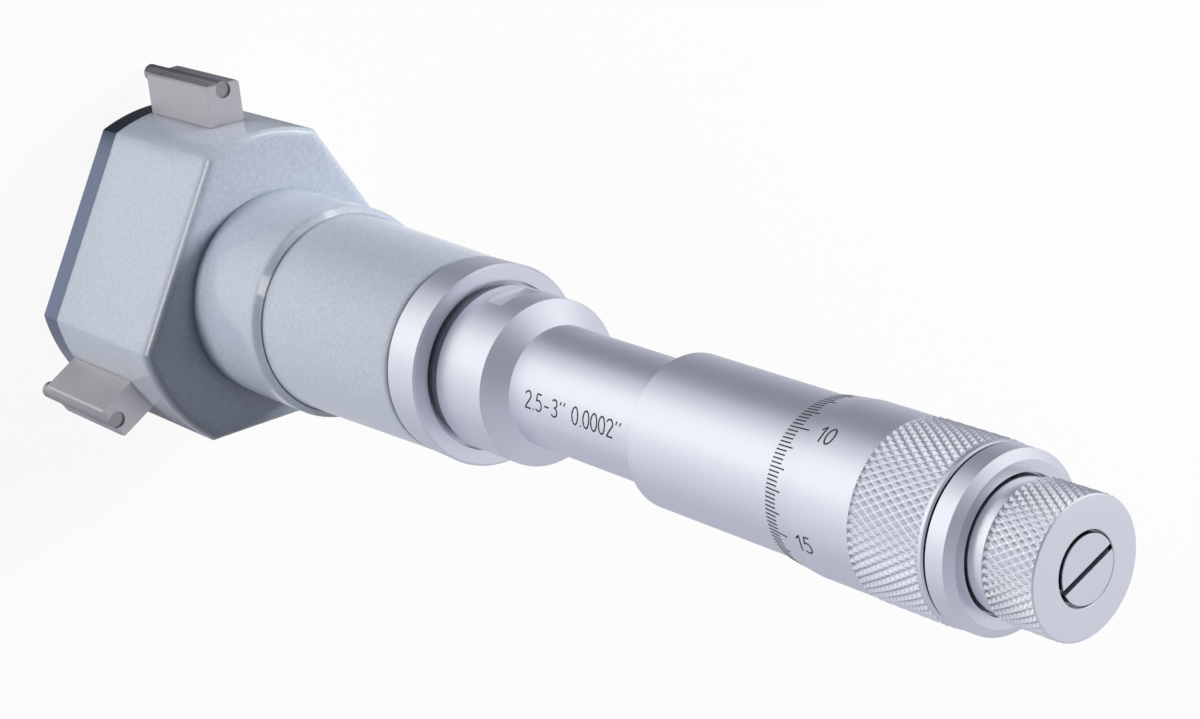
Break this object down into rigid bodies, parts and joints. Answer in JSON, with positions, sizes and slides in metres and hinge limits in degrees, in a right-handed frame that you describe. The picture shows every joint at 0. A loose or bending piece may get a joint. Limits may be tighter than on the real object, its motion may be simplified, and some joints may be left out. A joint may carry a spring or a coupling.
{
  "type": "inside micrometer",
  "caption": "Three-point inside micrometer: a flatted head with radial anvils spread by a sliding wedge, a slim body, a graduated sleeve, a knurled thimble and a ratchet.",
  "frame": {"origin": "on the instrument's axis, at the front face of the head's cover, where the tool stands", "axes": "+Z along the instrument's axis from the head to the ratchet, +Y along the first anvil"},
  "size_m": [0.057, 0.0517, 0.1942],
  "materials": {
    "grey_paint": "glossy hammer-tone paint over steel",
    "satin_chrome": "satin chrome plate",
    "ground_steel": "ground and hardened",
    "blued_steel": "blued, glossy",
    "carbide": "lapped hard metal",
    "bronze": "turned"
  },
  "bodies": {
    "frame": {"front_cover": "blued_steel", "cover_screws": "blued_steel", "head_housing": "grey_paint", "neck": "grey_paint", "guide_bush": "bronze", "lock_ring": "satin_chrome", "body_sleeve": "satin_chrome", "scale_sleeve": "satin_chrome", "spindle_nut": "bronze"},
    "wedge": {"wedge": "ground_steel", "push_rod": "ground_steel", "thrust_ball": "ground_steel"},
    "anvil_a": {"anvil_a": "ground_steel", "contact_rod_a": "carbide"},
    "anvil_b": {"anvil_b": "ground_steel", "contact_rod_b": "carbide"},
    "anvil_c": {"anvil_c": "ground_steel", "contact_rod_c": "carbide"},
    "thimble": {"spindle": "ground_steel", "thimble": "satin_chrome", "thimble_cap": "satin_chrome", "spring_washers": "ground_steel", "click": "ground_steel", "ratchet_screw": "satin_chrome"},
    "ratchet": {"ratchet_knob": "satin_chrome"}
  },
  "joints": [
    {"name": "wedge_feed", "type": "slide", "parent": "frame", "child": "wedge", "axis": [0, 0, -1], "range_m": [0, 0.0127]},
    {"name": "thimble_turn", "type": "hinge", "parent": "wedge", "child": "thimble", "pos_m": [0, 0, 0.165], "axis": [0, 0, -1], "range_deg": [0, 7200]},
    {"name": "anvil_a_slide", "type": "slide", "parent": "frame", "child": "anvil_a", "axis": [0, 1, 0], "range_m": [0, 0.00635]},
    {"name": "anvil_b_slide", "type": "slide", "parent": "frame", "child": "anvil_b", "axis": [-0.866, -0.5, 0], "range_m": [0, 0.00635]},
    {"name": "anvil_c_slide", "type": "slide", "parent": "frame", "child": "anvil_c", "axis": [0.866, -0.5, 0], "range_m": [0, 0.00635]},
    {"name": "ratchet_slip", "type": "hinge", "parent": "thimble", "child": "ratchet", "pos_m": [0, 0, 0.19], "axis": [0, 0, -1], "continuous": true}
  ],
  "couplings": [
    {"joint": "thimble_turn", "follows": "wedge_feed", "rad_per_m": 9894.8},
    {"joint": "anvil_a_slide", "follows": "wedge_feed", "ratio": 0.5},
    {"joint": "anvil_b_slide", "follows": "wedge_feed", "ratio": 0.5},
    {"joint": "anvil_c_slide", "follows": "wedge_feed", "ratio": 0.5}
  ]
}
